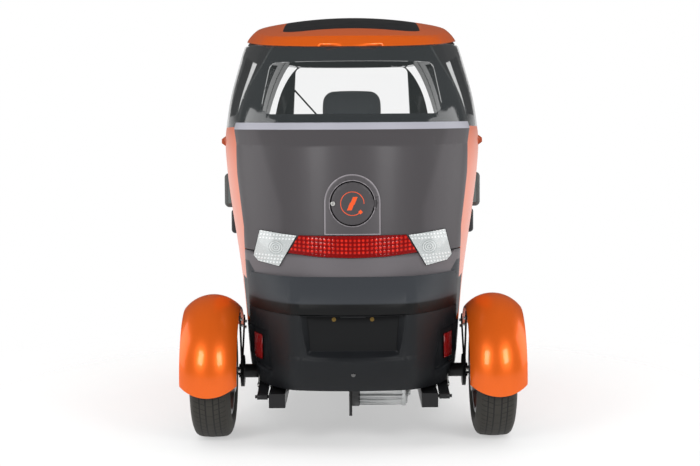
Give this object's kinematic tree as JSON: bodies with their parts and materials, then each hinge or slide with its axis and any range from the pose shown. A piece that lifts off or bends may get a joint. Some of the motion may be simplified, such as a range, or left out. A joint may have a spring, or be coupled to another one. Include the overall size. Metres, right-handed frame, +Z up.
{
  "type": "three-wheeled electric cabin car",
  "caption": "Electric cabin car with a steered front wheel, outboard rear wheels under separate fenders, front-hinged doors and a round charging flap on its tail.",
  "frame": {"origin": "on the ground under the middle of the whole car", "axes": "+X to the car's right, +Y forward, +Z up"},
  "size_m": [1.274, 2.3622, 1.6449],
  "materials": {
    "paint_orange": "metallic orange paint",
    "paint_grey": "dark grey metallic paint",
    "black_plastic": "grained black plastic",
    "gloss_black": "gloss black",
    "glass": "tinted safety glass",
    "lens_red": "red lens",
    "lens_clear": "clear lens over lamps",
    "tyre": "tread rubber",
    "alloy": "cast alloy",
    "frame_steel": "black painted steel",
    "motor_alloy": "finned casting",
    "seat_cover": "dark seat cover",
    "battery": "battery case"
  },
  "bodies": {
    "chassis": {"battery_pack": "battery", "cabin_frame_front": "gloss_black", "cabin_frame_rear": "gloss_black", "charge_port_surround": "paint_grey", "charge_socket": "black_plastic", "dashboard": "black_plastic", "door_hinge_pins": "frame_steel", "drive_motor": "motor_alloy", "floor_pan": "frame_steel", "frame": "frame_steel", "front_wheel_well": "black_plastic", "headlamps": "lens_clear", "headrest": "seat_cover", "leaf_springs": "frame_steel", "luggage_tub": "black_plastic", "mirrors": "gloss_black", "nose_panel": "paint_orange", "quarter_glass": "glass", "rear_apron": "paint_grey", "rear_axle": "frame_steel", "rear_bumper": "black_plastic", "rear_fender_left": "paint_orange", "rear_fender_right": "paint_orange", "rear_glass": "glass", "rear_panel": "paint_grey", "rear_reflectors": "lens_red", "rockers": "black_plastic", "roof": "paint_orange", "roof_panel": "gloss_black", "seat_back": "seat_cover", "seat_cushion": "seat_cover", "seat_frame": "black_plastic", "side_panels": "paint_orange", "tail_lamps": "lens_clear", "tail_light_bar": "lens_red", "windscreen": "glass", "wiper": "black_plastic"},
    "charge_flap": {"charge_flap": "paint_grey"},
    "rear_wheel_right": {"rear_tyre_right": "tyre", "rear_rim_right": "alloy"},
    "door_right": {"door_panel_right": "paint_orange", "door_frame_right": "gloss_black", "door_glass_right": "glass", "door_fittings_right": "gloss_black"},
    "rear_wheel_left": {"rear_tyre_left": "tyre", "rear_rim_left": "alloy"},
    "door_left": {"door_panel_left": "paint_orange", "door_frame_left": "gloss_black", "door_glass_left": "glass", "door_fittings_left": "gloss_black"},
    "steering": {"front_fork": "frame_steel", "front_mudguard": "paint_orange"},
    "front_wheel": {"front_tyre": "tyre", "front_rim": "alloy"}
  },
  "joints": [
    {"name": "rear_wheel_right_spin", "type": "hinge", "parent": "chassis", "child": "rear_wheel_right", "pos_m": [0.53, -0.84, 0.25], "axis": [1, 0, 0], "continuous": true},
    {"name": "rear_wheel_left_spin", "type": "hinge", "parent": "chassis", "child": "rear_wheel_left", "pos_m": [-0.53, -0.84, 0.25], "axis": [1, 0, 0], "continuous": true},
    {"name": "steering_turn", "type": "hinge", "parent": "chassis", "child": "steering", "pos_m": [0, 0.67978, 0.66], "axis": [0, -0.342, 0.9397], "range_deg": [-35, 35]},
    {"name": "front_wheel_spin", "type": "hinge", "parent": "steering", "child": "front_wheel", "pos_m": [0, 0.86, 0.235], "axis": [1, 0, 0], "continuous": true},
    {"name": "door_right_hinge", "type": "hinge", "parent": "chassis", "child": "door_right", "pos_m": [0.47933, 0.423, 0.75], "axis": [0, 0, 1], "range_deg": [0, 65]},
    {"name": "door_left_hinge", "type": "hinge", "parent": "chassis", "child": "door_left", "pos_m": [-0.47933, 0.423, 0.75], "axis": [0, 0, 1], "range_deg": [-65, 0]},
    {"name": "charge_flap_hinge", "type": "hinge", "parent": "chassis", "child": "charge_flap", "pos_m": [0.084, -1.06639, 0.901], "axis": [0, 0, 1], "range_deg": [0, 110]}
  ]
}
